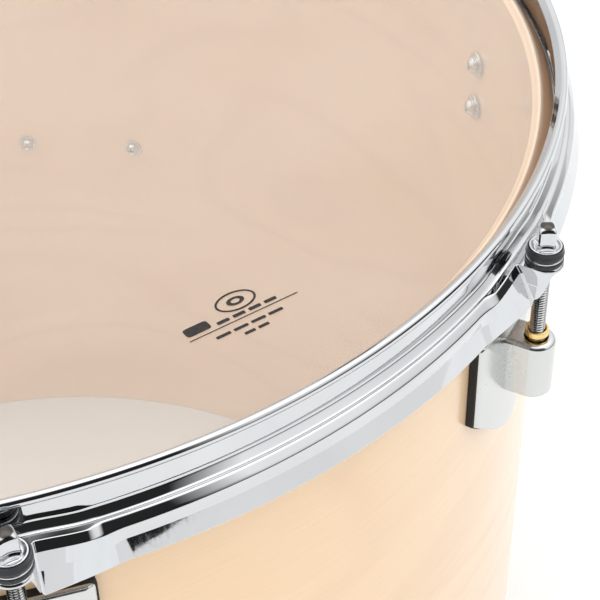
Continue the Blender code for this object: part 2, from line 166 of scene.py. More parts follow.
def skin(name, rings, closed=False, sharp=38.0):
    """A mesh through rings of equally many points in millimetres, capped unless it closes."""
    points = np.asarray(rings, float) * MM
    count, around = points.shape[:2]
    index = np.arange(count * around).reshape(count, around)
    lower = index if closed else index[:-1]
    upper = np.roll(index, -1, axis=0) if closed else index[1:]
    sides = [lower, np.roll(lower, -1, axis=1), np.roll(upper, -1, axis=1), upper]
    faces = np.stack(sides, axis=-1).reshape(-1, 4).tolist()
    if not closed:
        faces += [index[0].tolist(), index[-1].tolist()]
    mesh = bpy.data.meshes.new(name)
    mesh.from_pydata(points.reshape(-1, 3).tolist(), [], faces)
    return finished(mesh, sharp)


def turned(name, profile, steps=48, closed=False, sharp=38.0):
    """Radius and height pairs turned about Z."""
    angles = np.linspace(0.0, 2.0 * math.pi, steps, endpoint=False)
    rings = [
        np.stack([radius * np.cos(angles), radius * np.sin(angles), np.full(steps, height)], axis=1)
        for radius, height in profile
    ]
    return skin(name, rings, closed, sharp)


def radial(mesh):
    """A mesh turned about Z laid along X, so that its heights become distances from the axis."""
    mesh.transform(Matrix.Rotation(math.radians(90.0), 4, "Y"))
    return mesh


def loose(name, mesh):
    item = bpy.data.objects.new(name, mesh)
    bpy.context.collection.objects.link(item)
    return item


def carved(mesh, steps, sharp=30.0):
    """The mesh after a row of booleans (operation, mesh, offset in millimetres)."""
    item = loose("carved", mesh)
    tools = []
    for operation, tool_mesh, offset in steps:
        tool = loose("tool", tool_mesh)
        tool.location = Vector(offset) * MM
        change = item.modifiers.new(operation, "BOOLEAN")
        change.operation = operation
        change.solver = "EXACT"
        change.object = tool
        tools.append(tool)
    bpy.context.view_layer.update()
    graph = bpy.context.evaluated_depsgraph_get()
    result = bpy.data.meshes.new_from_object(item.evaluated_get(graph))
    for used in [item, *tools]:
        bpy.data.objects.remove(used, do_unlink=True)
    result.materials.clear()
    return finished(result, sharp)


def joined(name, meshes):
    """Several meshes as one, each still closed in itself."""
    shape = bmesh.new()
    for mesh in meshes:
        shape.from_mesh(mesh)
    whole = bpy.data.meshes.new(name)
    shape.to_mesh(whole)
    shape.free()
    return finished(whole)


def piece(name, mesh, look, body, nodes=(), place=(0.0, 0.0, 0.0), azimuth=0.0):
    """A visible piece that rides on a body and stands for the CAD nodes given."""
    item = loose(name, mesh)
    item.location = Vector(place) * MM
    item.rotation_euler.z = azimuth
    if not mesh.materials:
        mesh.materials.append(look)
    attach(item, body)
    if nodes:
        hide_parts(*nodes)
    normals = item.modifiers.new("even_normals", "WEIGHTED_NORMAL")
    normals.keep_sharp = True
    return item


# ---------------------------------------------------------------- materials


class Look:
    """A material put together from nodes around one Principled shader."""

    def __init__(self, name, **constants):
        self.material = bpy.data.materials.new(name)
        self.material.use_nodes = True
        self.tree = self.material.node_tree
        self.shader = self.tree.nodes["Principled BSDF"]
        self.place = self.node("ShaderNodeTexCoord").outputs["Object"]
        for key, value in constants.items():
            self.shader.inputs[key.replace("_", " ")].default_value = value

    def node(self, kind, inputs=None, **settings):
        made = self.tree.nodes.new(kind)
        for key, value in settings.items():
            setattr(made, key, value)
        for key, value in (inputs or {}).items():
            self.feed(made.inputs[key], value)
        return made

    def feed(self, socket, value):
        if isinstance(value, bpy.types.NodeSocket):
            self.tree.links.new(value, socket)
        else:
            socket.default_value = value

    def sums(self, operation, first, second=0.0, third=0.0):
        return self.node(
            "ShaderNodeMath", {0: first, 1: second, 2: third}, operation=operation
        ).outputs[0]

    def axis_radius(self):
        """Distance from the object's own Z axis."""
        split = self.node("ShaderNodeSeparateXYZ", {"Vector": self.place})
        x, y = split.outputs["X"], split.outputs["Y"]
        return self.sums("SQRT", self.sums("ADD", self.sums("MULTIPLY", x, x), self.sums("MULTIPLY", y, y)))

    def scaled(self, vector, scale, offset=(0.0, 0.0, 0.0)):
        return self.node(
            "ShaderNodeMapping", {"Vector": vector, "Scale": scale, "Location": offset}
        ).outputs[0]

    def noise(self, vector, scale, detail=2.0, roughness=0.5, distortion=0.0):
        return self.node(
            "ShaderNodeTexNoise",
            {
                "Vector": vector,
                "Scale": scale,
                "Detail": detail,
                "Roughness": roughness,
                "Distortion": distortion,
            },
        ).outputs["Fac"]

    def ramp(self, value, stops):
        made = self.node("ShaderNodeValToRGB", {"Fac": value})
        elements = made.color_ramp.elements
        while len(elements) < len(stops):
            elements.new(0.5)
        for element, (position, colour) in zip(elements, stops):
            element.position = position
            element.color = (*colour, 1.0)
        return made.outputs["Color"]

    def ranged(self, value, low, high, to_low, to_high):
        return self.node(
            "ShaderNodeMapRange", {0: value, 1: low, 2: high, 3: to_low, 4: to_high}
        ).outputs[0]

    def mixed(self, share, first, second):
        made = self.node("ShaderNodeMix", data_type="RGBA")
        self.feed(made.inputs["Factor"], share)
        self.feed(made.inputs[6], first)
        self.feed(made.inputs[7], second)
        return made.outputs[2]

    def colour(self, value):
        self.feed(self.shader.inputs["Base Color"], value)

    def rough(self, value):
        self.feed(self.shader.inputs["Roughness"], value)

    def bump(self, height, strength, distance):
        made = self.node("ShaderNodeBump", {"Height": height, "Strength": strength, "Distance": distance})
        self.tree.links.new(made.outputs["Normal"], self.shader.inputs["Normal"])


def plated(name, dark, light, smooth, worn, waves):
    """Polished metal plate: faint cloudiness, fine wipe marks and slow waves in the surface."""
    look = Look(name, Metallic=1.0)
    cloud = look.noise(look.place, 38.0, 3.0)
    wipes = look.noise(look.scaled(look.place, (900.0, 120.0, 420.0)), 1.0, 3.0, 0.65)
    look.colour(look.ramp(cloud, [(0.3, dark), (0.7, light)]))
    marks = look.ranged(wipes, 0.45, 0.8, smooth, worn)
    look.rough(look.sums("MULTIPLY", marks, look.ranged(cloud, 0.3, 0.7, 0.8, 1.25)))
    look.bump(look.sums("ADD", cloud, look.sums("MULTIPLY", wipes, 0.04)), waves, 0.0004)
    return look.material


CHROME_DARK = (0.60, 0.61, 0.62)
CHROME_LIGHT = (0.64, 0.645, 0.655)


def make_chrome():
    return plated("chrome", CHROME_DARK, CHROME_LIGHT, 0.02, 0.05, 0.05)


def make_satin():
    return plated("satin_chrome", (0.61, 0.615, 0.605), (0.64, 0.645, 0.635), 0.22, 0.26, 0.03)


def make_threaded():
    """Chrome plate with painted shade, a near-black brown, in the thread's roots near the rod's own axis."""
    look = Look("threaded_chrome", Metallic=1.0)
    radius = look.axis_radius()
    cloud = look.noise(look.place, 400.0, 3.0)
    plate = look.ramp(cloud, [(0.3, CHROME_DARK), (0.7, CHROME_LIGHT)])
    # Painted shade: the thread's roots, nearest the rod's axis, are mixed toward near-black.
    root_shade = look.ranged(radius, (ROD_RADIUS - 0.55) * MM, (ROD_RADIUS - 0.15) * MM, 0.93, 0.0)
    look.colour(look.mixed(root_shade, plate, (0.045, 0.035, 0.028, 1.0)))
    look.rough(look.ranged(cloud, 0.3, 0.7, 0.03, 0.09))
    look.bump(cloud, 0.05, 0.00005)
    return look.material


def make_zinc():
    return plated("zinc_steel", (0.56, 0.57, 0.56), (0.72, 0.72, 0.70), 0.20, 0.38, 0.2)


def make_aluminium():
    return plated("aluminium", (0.70, 0.70, 0.71), (0.82, 0.82, 0.83), 0.24, 0.42, 0.2)


def make_brass():
    """Turned brass: fine tool rings round the axis and a slight tarnish."""
    look = Look("brass", Metallic=1.0)
    rings = look.noise(look.scaled(look.place, (30.0, 30.0, 5200.0)), 1.0, 2.0)
    tarnish = look.noise(look.place, 260.0, 3.0)
    look.colour(look.ramp(tarnish, [(0.3, (0.72, 0.47, 0.17)), (0.7, (0.92, 0.68, 0.32))]))
    look.rough(look.ranged(tarnish, 0.3, 0.7, 0.12, 0.24))
    look.bump(rings, 0.25, 0.00005)
    return look.material


def make_black(name, tone, smooth, rough, grain):
    """Moulded black plastic or rubber with a fine grain and faint bloom."""
    look = Look(name, Specular_IOR_Level=0.25)
    bloom = look.noise(look.place, 180.0, 4.0)
    pores = look.noise(look.place, 2600.0, 2.0)
    look.colour(look.ramp(bloom, [(0.3, tone), (0.75, tuple(1.9 * part for part in tone))]))
    look.rough(look.ranged(bloom, 0.3, 0.7, smooth, rough))
    look.bump(pores, grain, 0.00008)
    return look.material


def make_maple():
    """Rotary-cut maple ply under satin lacquer, with the bearing edge's outer bevel painted darker: partly
    end grain, partly painted shade.
    """
    look = Look("maple", Coat_Weight=0.8, Coat_Roughness=0.15, Coat_IOR=1.5)
    split = look.node("ShaderNodeSeparateXYZ", {"Vector": look.place})
    x, y, z = (split.outputs[axis] for axis in "XYZ")
    radius = look.axis_radius()
    arc = look.sums("MULTIPLY", look.sums("ARCTAN2", y, x), SHELL_OUTER * MM)
    thickness = (SHELL_OUTER - SHELL_INNER) * MM / PLIES
    inset = look.sums("SUBTRACT", radius, (SHELL_INNER - 0.05) * MM)
    ply = look.sums("FLOOR", look.sums("DIVIDE", inset, thickness * 1.02))
    unrolled = look.node("ShaderNodeCombineXYZ", {"X": arc, "Y": z, "Z": ply}).outputs[0]
    field = look.noise(look.scaled(unrolled, (2.1, 6.5, 3.7)), 1.0, 2.0, 0.45, 0.35)
    rings = look.sums("SINE", look.sums("MULTIPLY", field, 95.0))
    rings = look.sums("POWER", look.sums("MULTIPLY_ADD", rings, 0.5, 0.5), 5.0)
    fibre = look.noise(look.scaled(unrolled, (26.0, 760.0, 7.0)), 1.0, 4.0, 0.62)
    cloud = look.noise(look.scaled(unrolled, (5.0, 9.0, 3.0)), 1.0, 3.0)
    fleck = look.noise(look.scaled(unrolled, (140.0, 1500.0, 5.0)), 1.0, 2.0)
    body = look.ramp(cloud, [(0.3, (0.810, 0.575, 0.350)), (0.7, (0.850, 0.625, 0.400))])
    streak = look.ranged(fibre, 0.3, 0.72, 0.0, 0.34)
    tinted = look.mixed(streak, body, (0.75, 0.50, 0.30, 1.0))
    ringed = look.mixed(look.sums("MULTIPLY", rings, 0.24), tinted, (0.68, 0.44, 0.26, 1.0))
    specks = look.ranged(fleck, 0.68, 0.78, 0.0, 0.25)
    flecked = look.mixed(specks, ringed, (0.52, 0.31, 0.17, 1.0))
    # The bearing edge's outer bevel is painted darker brown, partly for its end grain and partly as painted
    # shade.
    outward = look.sums("GREATER_THAN", radius, (BEARING_PEAK + 0.7) * MM)
    high = look.sums("GREATER_THAN", z, (SHELL_TOP - 6.0) * MM)
    end_grain_and_shade = look.sums("MULTIPLY", look.sums("MULTIPLY", outward, high), 0.85)
    flecked = look.mixed(end_grain_and_shade, flecked, (0.47, 0.24, 0.12, 1.0))
    crossing = look.sums("FLOORED_MODULO", ply, 2.0)
    look.colour(look.mixed(look.sums("MULTIPLY", crossing, 0.16), flecked, (0.50, 0.31, 0.17, 1.0)))
    look.rough(look.ranged(fibre, 0.3, 0.7, 0.34, 0.46))
    look.bump(look.sums("ADD", fibre, look.sums("MULTIPLY", rings, 0.3)), 0.05, 0.00012)
    return look.material


def make_film():
    """Clear polyester: a faint mirror and a trace of haze, both weaker on the sloping collar."""
    look = Look("clear_film")
    cloud = look.noise(look.place, 9.0, 3.0)
    look.colour(look.ramp(cloud, [(0.3, (0.93, 0.91, 0.85)), (0.7, (0.98, 0.965, 0.91))]))
    look.rough(look.ranged(cloud, 0.3, 0.7, 0.30, 0.42))
    ripple = look.noise(look.place, 5.0, 1.0)
    bump = look.node("ShaderNodeBump", {"Height": ripple, "Strength": 0.05, "Distance": 0.002})
    clear = look.node("ShaderNodeBsdfTransparent", {"Color": (0.985, 0.98, 0.972, 1.0)})
    mirror = look.node(
        "ShaderNodeBsdfGlossy", {"Color": (1.0, 1.0, 1.0, 1.0), "Roughness": 0.02, "Normal": bump.outputs[0]}
    )
    facing = look.node("ShaderNodeLayerWeight", {"Blend": 0.5}).outputs["Facing"]
    grazing = look.sums("POWER", facing, 5.0)
    collar = look.ranged(look.axis_radius(), (BEARING_PEAK + 0.5) * MM, (BEARING_PEAK + 2.5) * MM, 1.0, 0.25)
    edge = look.sums("MULTIPLY", collar, look.sums("MULTIPLY_ADD", grazing, 0.95, 0.045))
    haze = look.sums("MULTIPLY", collar, look.ranged(cloud, 0.3, 0.7, 0.085, 0.110))
    body = look.node("ShaderNodeMixShader", {0: haze, 1: clear.outputs[0], 2: look.shader.outputs[0]})
    whole = look.node("ShaderNodeMixShader", {0: edge, 1: body.outputs[0], 2: mirror.outputs[0]})
    output = look.tree.nodes["Material Output"]
    look.tree.links.new(whole.outputs[0], output.inputs["Surface"])
    return look.material


def make_ink():
    """Screen-printed black ink, slightly uneven."""
    look = Look("ink", Specular_IOR_Level=0.15)
    cloud = look.noise(look.place, 1400.0, 3.0)
    look.colour(look.ramp(cloud, [(0.35, (0.012, 0.011, 0.011)), (0.75, (0.045, 0.042, 0.040))]))
    look.rough(look.ranged(cloud, 0.3, 0.7, 0.35, 0.55))
    look.bump(cloud, 0.1, 0.00002)
    return look.material


def make_paper():
    """Matt white studio floor."""
    look = Look("paper")
    cloud = look.noise(look.place, 3.0, 4.0)
    tooth = look.noise(look.place, 900.0, 3.0)
    look.colour(look.ramp(cloud, [(0.3, (0.70, 0.712, 0.718)), (0.7, (0.725, 0.737, 0.743))]))
    look.rough(look.ranged(cloud, 0.3, 0.7, 0.7, 0.85))
    look.bump(tooth, 0.1, 0.0001)
    return look.material


CHROME = make_chrome()
SATIN = make_satin()
THREADED = make_threaded()
ZINC = make_zinc()
ALUMINIUM = make_aluminium()
BRASS = make_brass()
NYLON = make_black("black_nylon", (0.020, 0.020, 0.022), 0.22, 0.34, 0.08)
RUBBER = make_black("black_rubber", (0.016, 0.015, 0.014), 0.55, 0.72, 0.3)
MAPLE = make_maple()
FILM = make_film()
INK = make_ink()
PAPER = make_paper()


# ---------------------------------------------------------------- shell and head


def build_shell():
    corners = [
        (SHELL_INNER, 0.0, 0.7),
        (SHELL_OUTER, 0.0, 0.9),
        (SHELL_OUTER, SHELL_TOP - 5.8, 1.4),
        (BEARING_PEAK + 0.5, SHELL_TOP, 0.9),
        (BEARING_PEAK - 0.2, SHELL_TOP, 0.6),
        (SHELL_INNER, SHELL_TOP - 2.4, 1.0),
    ]
    profile = rounded(corners, steps=5)
    mesh = turned("shell_wood", profile, RING_STEPS, True)
    piece("shell_wood", mesh, MAPLE, "shell", ["shell"])


FILM_THICKNESS = 0.25
FLAT_TOP = SHELL_TOP - 0.1
CREST_TOP = SHELL_TOP + 0.7


def build_film():
    """Flat head, a low step up to the bearing edge, then the collar down into the flesh hoop."""
    top = [
        (20.0, FLAT_TOP, 0.0),
        (90.0, FLAT_TOP, 0.0),
        (160.0, FLAT_TOP, 0.0),
        (215.0, FLAT_TOP, 0.0),
        (243.0, FLAT_TOP, 2.5),
        (246.8, CREST_TOP - 0.1, 1.5),
        (249.0, CREST_TOP, 1.5),
        (253.6, 402.3, 1.6),
        (256.5, 399.4, 1.5),
        (256.8, 394.0, 0.0),
    ]
    over = rounded(top, closed=False, steps=5)
    under = [(radius - 0.1 * (radius > 249.5), height - FILM_THICKNESS) for radius, height in over]
    mesh = turned("film_clear", over + under[::-1], RING_STEPS, False, 60.0)
    piece("film_clear", mesh, FILM, "head_and_hoop", ["drumhead_film"])


def build_flesh_hoop():
    corners = [
        (254.9, 391.2, 0.8),
        (259.2, 391.2, 0.8),
        (259.2, 401.2, 0.6),
        (257.6, 401.2, 0.5),
        (257.6, 392.8, 0.3),
        (256.0, 392.8, 0.3),
        (256.0, 398.6, 0.4),
        (254.9, 398.6, 0.4),
    ]
    mesh = turned("flesh_hoop_channel", rounded(corners, steps=3), RING_STEPS, True)
    piece("flesh_hoop_channel", mesh, ALUMINIUM, "head_and_hoop", ["flesh_hoop"])


MARK_PLACE = Vector((8.2, -207.8))
MARK_TURN = math.radians(-3.9)
INK_LOW = FLAT_TOP + 0.02
INK_HIGH = INK_LOW + 0.03


def flat_band(outline_out, outline_in):
    """A closed band between two outlines of equally many points, as thick as ink."""
    rings = [
        [(x, y, INK_LOW) for x, y in outline_out],
        [(x, y, INK_HIGH) for x, y in outline_out],
        [(x, y, INK_HIGH) for x, y in outline_in],
        [(x, y, INK_LOW) for x, y in outline_in],
    ]
    return skin("band", rings, True)


def oval(centre, half_width, half_height, steps=72):
    turn = 2.0 * math.pi / steps
    return [
        (centre[0] + half_width * math.cos(turn * i), centre[1] + half_height * math.sin(turn * i))
        for i in range(steps)
    ]


def bar(x, y, width, height):
    """A printed bar: a rounded rectangle given by its lower left corner."""
    corners = [(x, y), (x + width, y), (x + width, y + height), (x, y + height)]
    outline = rounded([(*corner, 0.3 * height) for corner in corners], steps=3)
    return skin("bar", [[(u, v, level) for u, v in outline] for level in (INK_LOW, INK_HIGH)])


def build_mark():
    """A plain printed mark with no lettering: two rings, a rule and rows of bars."""
    ring = flat_band(oval((2.0, 8.6), 7.4, 4.6), oval((2.0, 8.6), 6.6, 3.8))
    core = flat_band(oval((2.0, 8.6), 3.2, 2.0), oval((2.0, 8.6), 1.6, 1.0))
    bars = [bar(-20.5, 0.0, 41.0, 0.45), bar(-20.0, 2.0, 9.0, 4.2)]
    bars += [bar(-9.0 + 6.0 * i, 1.6, 4.6, 1.5) for i in range(4)]
    bars += [bar(-13.0 + 6.6 * i, -4.0, 5.4, 1.3) for i in range(4)]
    bars += [bar(-4.6 + 5.2 * i, -7.4, 4.0, 1.3) for i in range(2)]
    mesh = joined("head_mark", [ring, core, *bars])
    mesh.transform(Matrix.Translation((MARK_PLACE * MM).to_3d()) @ Matrix.Rotation(MARK_TURN, 4, "Z"))
    piece("head_mark", mesh, INK, "head_and_hoop")


# ---------------------------------------------------------------- counter hoop


def ear_pad(side):
    """How far the round pad under the washers reaches out of the skirt; nothing beside the pad."""
    if side > EAR_PAD:
        return 0.0
    return ROD_CIRCLE - SKIRT + math.sqrt(EAR_PAD**2 - side**2)


def blend(share, first, second):
    """Part of the way from one corner to another."""
    return tuple(share * b + (1.0 - share) * a for a, b in zip(first, second))


def hoop_section(arc):
    """The pressed sheet's outline at a distance from an ear's centre: radius, depth, rounding.

    Beside an ear the shelf's edge becomes a groove, and the skirt below it a straight apron.
    """
    side = abs(arc)
    ear = 1.0 - smoothstep(EAR_PAD, EAR_SPREAD, side)
    shelf = SHOULDER + ear * (PLATFORM - SHOULDER)
    tip = shelf + SHEET + 0.2
    foot = tip + smoothstep(0.6 * EAR_PAD, 1.15 * EAR_PAD, side) * (FOOT - tip)
    drop = (foot - shelf) / (FOOT - SHOULDER)
    crease = shelf + (WAIST - SHOULDER) * drop
    root = ROOT * (1.0 - smoothstep(EAR_PAD, 1.15 * EAR_PAD, side))
    edge = max(ear_pad(side), EAR_SWELL * ear + root)
    flank = EAR_FLANK * min(1.0, max(0.0, (FLANK_SPREAD - side) / (FLANK_SPREAD - EAR_PAD)))
    hem = max(ear_pad(side), LIP - SKIRT + flank)
    apron = 1.0 - smoothstep(24.0, 34.0, side)
    groove = (1.0 - smoothstep(22.0, 28.0, side)) * (side > EAR_PAD)
    brink = shelf + GROOVE_DROP
    rim = GROOVE_RADIUS + root + GROOVE_WIDTH - SKIRT
    straight = rim + (hem - rim) * (crease - brink) / max(0.1, foot - brink)
    waist = apron * 0.5 * (edge + hem + 0.6) - 0.4 * (1.0 - apron)
    waist = groove * straight + (1.0 - groove) * waist
    under = max(crease + 0.3, shelf + SHEET + 0.05)
    inner = SHEET if drop > 0.2 else 0.4
    shoulder = (SKIRT + edge - 2.6 * drop, shelf, 2.4)
    corner = (SKIRT + edge, shelf + 2.9 * drop, 3.0)
    slope_start = (GROOVE_RADIUS + root, shelf, 0.5)
    slope_end = (SKIRT + rim, brink, 0.7)
    return [
        (HOOP_INNER - 0.3, 4.6, 0.5),
        (HOOP_INNER - 0.8, 2.6, 0.5),
        (BEAD - 2.9, 0.5, 0.9),
        (BEAD - 1.9, 0.0, 0.6),
        (BEAD - 0.9, 0.1, 0.9),
        (BEAD, 1.6, 1.4),
        (BEAD - 0.7, 3.0, 0.6),
        (HOOP_WALL, 3.6, 0.4),
        (HOOP_WALL, shelf - 2.6, 2.2),
        (HOOP_WALL + 2.2, shelf, 2.0),
        blend(groove, shoulder, slope_start),
        blend(groove, corner, slope_end),
        (SKIRT + waist, crease, 0.7 + 3.0 * apron),
        (SKIRT + hem, foot - 0.4, 0.3),
        (SKIRT + hem - 0.3, foot, 0.2),
        (SKIRT + hem - inner, foot, 0.4),
        (SKIRT + waist - SHEET, under, 1.0),
        (SKIRT + edge - SHEET, shelf + SHEET, 1.2),
        (HOOP_INNER + 0.8, shelf + SHEET, 1.2),
        (HOOP_INNER, 11.0, 1.0),
    ]


def hoop_stations():
    """Pairs of angle and distance from the nearest ear's centre, close together at the ears."""
    fine = EAR_PAD * np.array([0.15, 0.3, 0.45, 0.55, 0.65, 0.74, 0.82, 0.89, 0.945, 0.98, 0.999, 1.004])
    middle = np.arange(1.03 * EAR_PAD, 1.5 * EAR_PAD, 0.35)
    side = np.concatenate([fine, middle, np.arange(10.3, 36.0, 0.9)])
    near = np.concatenate([-side[::-1], [0.0], side]) / ROD_CIRCLE
    half_pitch = math.pi / len(ROD_AZIMUTHS)
    far = np.linspace(near[-1], 2.0 * half_pitch - near[-1], 24)[1:-1]
    stations = []
    for azimuth in sorted(ROD_AZIMUTHS):
        stations += [(azimuth + offset, offset * ROD_CIRCLE) for offset in near]
        stations += [
            (azimuth + offset, (offset if offset < half_pitch else offset - 2.0 * half_pitch) * ROD_CIRCLE)
            for offset in far
        ]
    return stations


def build_hoop():
    rings = []
    for angle, arc in hoop_stations():
        outline = np.array(rounded(hoop_section(arc), steps=4))
        radius, height = outline[:, 0], HOOP_TOP - outline[:, 1]
        rings.append(np.stack([radius * math.cos(angle), radius * math.sin(angle), height], axis=1))
    mesh = skin("hoop_steel", rings, True, 50.0)
    piece("hoop_steel", mesh, CHROME, "head_and_hoop", ["counter_hoop"])


# ---------------------------------------------------------------- rods, washers, nuts


def rounded_square(size, height, squareness, steps=32):
    """A ring of points from a circle (squareness 0) to a square of that half-width (1)."""
    ring = []
    for i in range(steps):
        angle = 2.0 * math.pi * (i + 0.5) / steps
        c, s = math.cos(angle), math.sin(angle)
        power = 2.0 + 12.0 * squareness
        reach = size / (abs(c) ** power + abs(s) ** power) ** (1.0 / power)
        ring.append((reach * c, reach * s, height))
    return ring


def thread_rings(start, end, steps=32, rows=6):
    """Rings of a screw thread: the crest climbs one pitch in each turn."""
    rings = []
    depth = 0.75 * PITCH
    for level in np.arange(start, end, PITCH / rows):
        fade = min(1.0, (level - start) / PITCH, (end - level) / PITCH)
        ring = []
        for i in range(steps):
            turn = (i + 0.5) / steps
            wave = abs(((level / PITCH - turn) % 1.0) * 2.0 - 1.0)
            reach = ROD_RADIUS - fade * depth * (1.0 - wave) * 0.85
            angle = 2.0 * math.pi * turn
            ring.append((reach * math.cos(angle), reach * math.sin(angle), level))
        rings.append(ring)
    return rings


def rod_mesh():
    """Threaded shank, cupped flange and square key head, from the rod's end upwards."""
    tip = [rounded_square(1.9, -ROD_END, 0.0), rounded_square(2.3, 0.4 - ROD_END, 0.0)]
    thread = thread_rings(0.8 - ROD_END, -16.0)
    plain = [(ROD_RADIUS - 0.1, -15.6), (ROD_RADIUS - 0.1, 0.2 - WASHER_TOP)]
    flange = rounded(
        [
            (3.0, 0.2 - WASHER_TOP, 0.0),
            (5.2, 0.2 - WASHER_TOP, 0.4),
            (5.55, -FLANGE_TOP - 0.9, 0.4),
            (5.55, -FLANGE_TOP, 0.35),
            (5.0, -FLANGE_TOP, 0.35),
            (4.4, -FLANGE_TOP - 0.75, 0.7),
            (3.9, -FLANGE_TOP - 1.0, 0.0),
        ],
        closed=False,
        steps=4,
    )
    lathe = [rounded_square(radius, height, 0.0) for radius, height in plain + flange]
    key = [
        rounded_square(size, height, squareness)
        for size, height, squareness in [
            (KEY_HALF + 0.45, -FLANGE_TOP - 1.0, 0.6),
            (KEY_HALF + 0.1, -FLANGE_TOP - 0.7, 0.9),
            (KEY_HALF, -FLANGE_TOP - 0.2, 1.0),
            (KEY_HALF, -1.1, 1.0),
            (KEY_HALF - 0.05, -0.8, 0.9),
            (KEY_HALF - 0.25, -0.3, 0.65),
            (KEY_HALF - 0.65, 0.25, 0.4),
            (KEY_HALF - 1.2, 0.7, 0.2),
            (KEY_HALF - 1.9, 1.0, 0.0),
            (KEY_HALF - 2.5, 1.13, 0.0),
            (0.1, 1.15, 0.0),
        ]
    ]
    return skin("tension_rod", tip + thread + lathe + key, sharp=42.0)


def black_washer_mesh():
    """A cup round the rod's flange, over a wider band."""
    corners = [
        (3.1, -10.8, 0.2),
        (6.35, -10.8, 0.3),
        (6.5, -9.6, 0.5),
        (6.1, -8.4, 0.6),
        (5.95, -7.5, 0.2),
        (5.7, -7.5, 0.1),
        (5.7, -9.1, 0.1),
        (3.1, -9.2, 0.2),
    ]
    return turned("black_washer", rounded(corners, steps=4), 48, True)


def steel_washer_mesh():
    corners = [(3.0, -11.7, 0.2), (6.25, -11.7, 0.4), (6.25, -10.85, 0.4), (3.0, -10.85, 0.2)]
    return turned("steel_washer", rounded(corners, steps=5), 48, True)


def lower_washer_mesh():
    corners = [(3.0, -13.3, 0.1), (6.45, -13.3, 0.3), (6.45, -11.75, 0.4), (3.0, -11.75, 0.1)]
    return turned("lower_washer", rounded(corners, steps=4), 48, True)


def nut_mesh():
    """Swivel nut: a two-step neck that shows above the lug, and a flange held inside it."""
    top, shoulder = -NUT_TOP, -NUT_SHOULDER - 0.3
    corners = [
        (ROD_RADIUS + 0.15, top - 0.6, 0.2),
        (ROD_RADIUS + 0.4, top, 0.2),
        (4.1, top, 0.4),
        (4.2, top - 2.2, 0.5),
        (3.8, top - 2.8, 0.3),
        (3.75, top - 3.1, 0.2),
        (3.8, shoulder, 0.1),
        (5.5, shoulder, 0.3),
        (5.5, shoulder - 5.0, 0.3),
        (ROD_RADIUS + 0.15, shoulder - 5.0, 0.2),
    ]
    return turned("swivel_nut", rounded(corners, steps=4), 48, True)


def build_rods():
    rod, black, steel = rod_mesh(), black_washer_mesh(), steel_washer_mesh()
    lower, nut = lower_washer_mesh(), nut_mesh()
    for number, (place, azimuth) in enumerate(zip(ROD_PLACES, ROD_AZIMUTHS), 1):
        piece(f"rod_{number}_threaded", rod, THREADED, f"rod_{number}",
              [f"tension_rod_{number}"], place, azimuth + KEY_TURN * number)
        piece(f"washer_black_{number}", black, NYLON, "head_and_hoop",
              [f"rod_washer_{number}"], place, azimuth)
        piece(f"washer_steel_{number}", steel, CHROME, "head_and_hoop", (), place, azimuth)
        piece(f"washer_lower_{number}", lower, NYLON, "head_and_hoop", (), place, azimuth)
        piece(f"nut_{number}_brass", nut, BRASS, "shell", [f"swivel_nut_{number}"], place, azimuth)


# ---------------------------------------------------------------- lugs


def on_shell(radius, arc, height):
    """A point this far along the shell's outer surface from azimuth 0."""
    angle = arc / SHELL_OUTER
    return (radius * math.cos(angle), radius * math.sin(angle), height)


def shield(margin):
    """The foot's outline as arc and height pairs: two top corners, sides and a round bottom."""
    half = LUG_HALF_WIDTH + margin
    top, side = HOOP_TOP - LUG_FOOT_TOP + margin, HOOP_TOP - LUG_SIDE
    sag = LUG_BOTTOM - LUG_SIDE + margin
    corners = [(-half, side, 0.0), (-half, top, 2.5), (half, top, 2.5), (half, side, 0.0)]
    outline = rounded(corners, closed=False, steps=6)
    for share in np.linspace(1.0, -1.0, 29)[1:-1]:
        outline.append((half * share, side - sag * (1.0 - (share * share + 0.004) ** 0.7)))
    return outline


def plate_mesh(name, outline, back, front, edge, rounding):
    """A plate on the shell: flat back, crowned front and a rounded edge all round it."""
    arcs = [arc for arc, _ in outline]
    heights = [height for _, height in outline]
    centre = (0.5 * (min(arcs) + max(arcs)), 0.5 * (min(heights) + max(heights)))
    half_width = 0.5 * (max(arcs) - min(arcs))
    half_height = 0.5 * (max(heights) - min(heights))

    def ring(inset, drop):
        """The outline drawn in by a length, at a depth under the crowned front."""
        points = []
        for arc, height in outline:
            u = centre[0] + (arc - centre[0]) * max(0.0, 1.0 - inset / half_width)
            v = centre[1] + (height - centre[1]) * max(0.0, 1.0 - inset / half_height)
            crown = front - (front - edge) * ((u - centre[0]) / half_width) ** 2
            points.append(on_shell(crown - drop, u, v))
        return points

    rings = [[on_shell(back, arc, height) for arc, height in outline]]
    steps = 5
    for k in range(steps + 1):
        angle = 0.5 * math.pi * k / steps
        rings.append(ring(rounding * (1.0 - math.cos(angle)), rounding * (1.0 - math.sin(angle))))
    for share in (0.15, 0.35, 0.55, 0.75, 0.9, 0.985):
        rings.append(ring(half_width * share, 0.0))
    return skin(name, rings)


def post_ring(inset, height):
    """The post in plan: straight sides out of the foot and a round front."""
    radius = POST_RADIUS - inset
    back = LUG_BACK + 1.8
    steps = 28
    ring = [(back, -radius, height), (0.5 * (back + ROD_CIRCLE), -radius, height)]
    for i in range(steps + 1):
        angle = math.pi * (i / steps - 0.5)
        ring.append((ROD_CIRCLE + radius * math.cos(angle), radius * math.sin(angle), height))
    return ring + [(0.5 * (back + ROD_CIRCLE), radius, height), (back, radius, height)]


def post_mesh():
    low, high = HOOP_TOP - POST_BOTTOM, HOOP_TOP - LUG_TOP
    steps = 6
    easing = 0.7
    rings = []
    for k in range(steps + 1):
        angle = 0.5 * math.pi * k / steps
        rings.append(post_ring(easing * (1.0 - math.sin(angle)), low + easing * (1.0 - math.cos(angle))))
    easing = 2.0
    for k in range(steps + 1):
        angle = 0.5 * math.pi * k / steps
        rings.append(post_ring(easing * (1.0 - math.cos(angle)), high - easing * (1.0 - math.sin(angle))))
    return skin("post", rings)


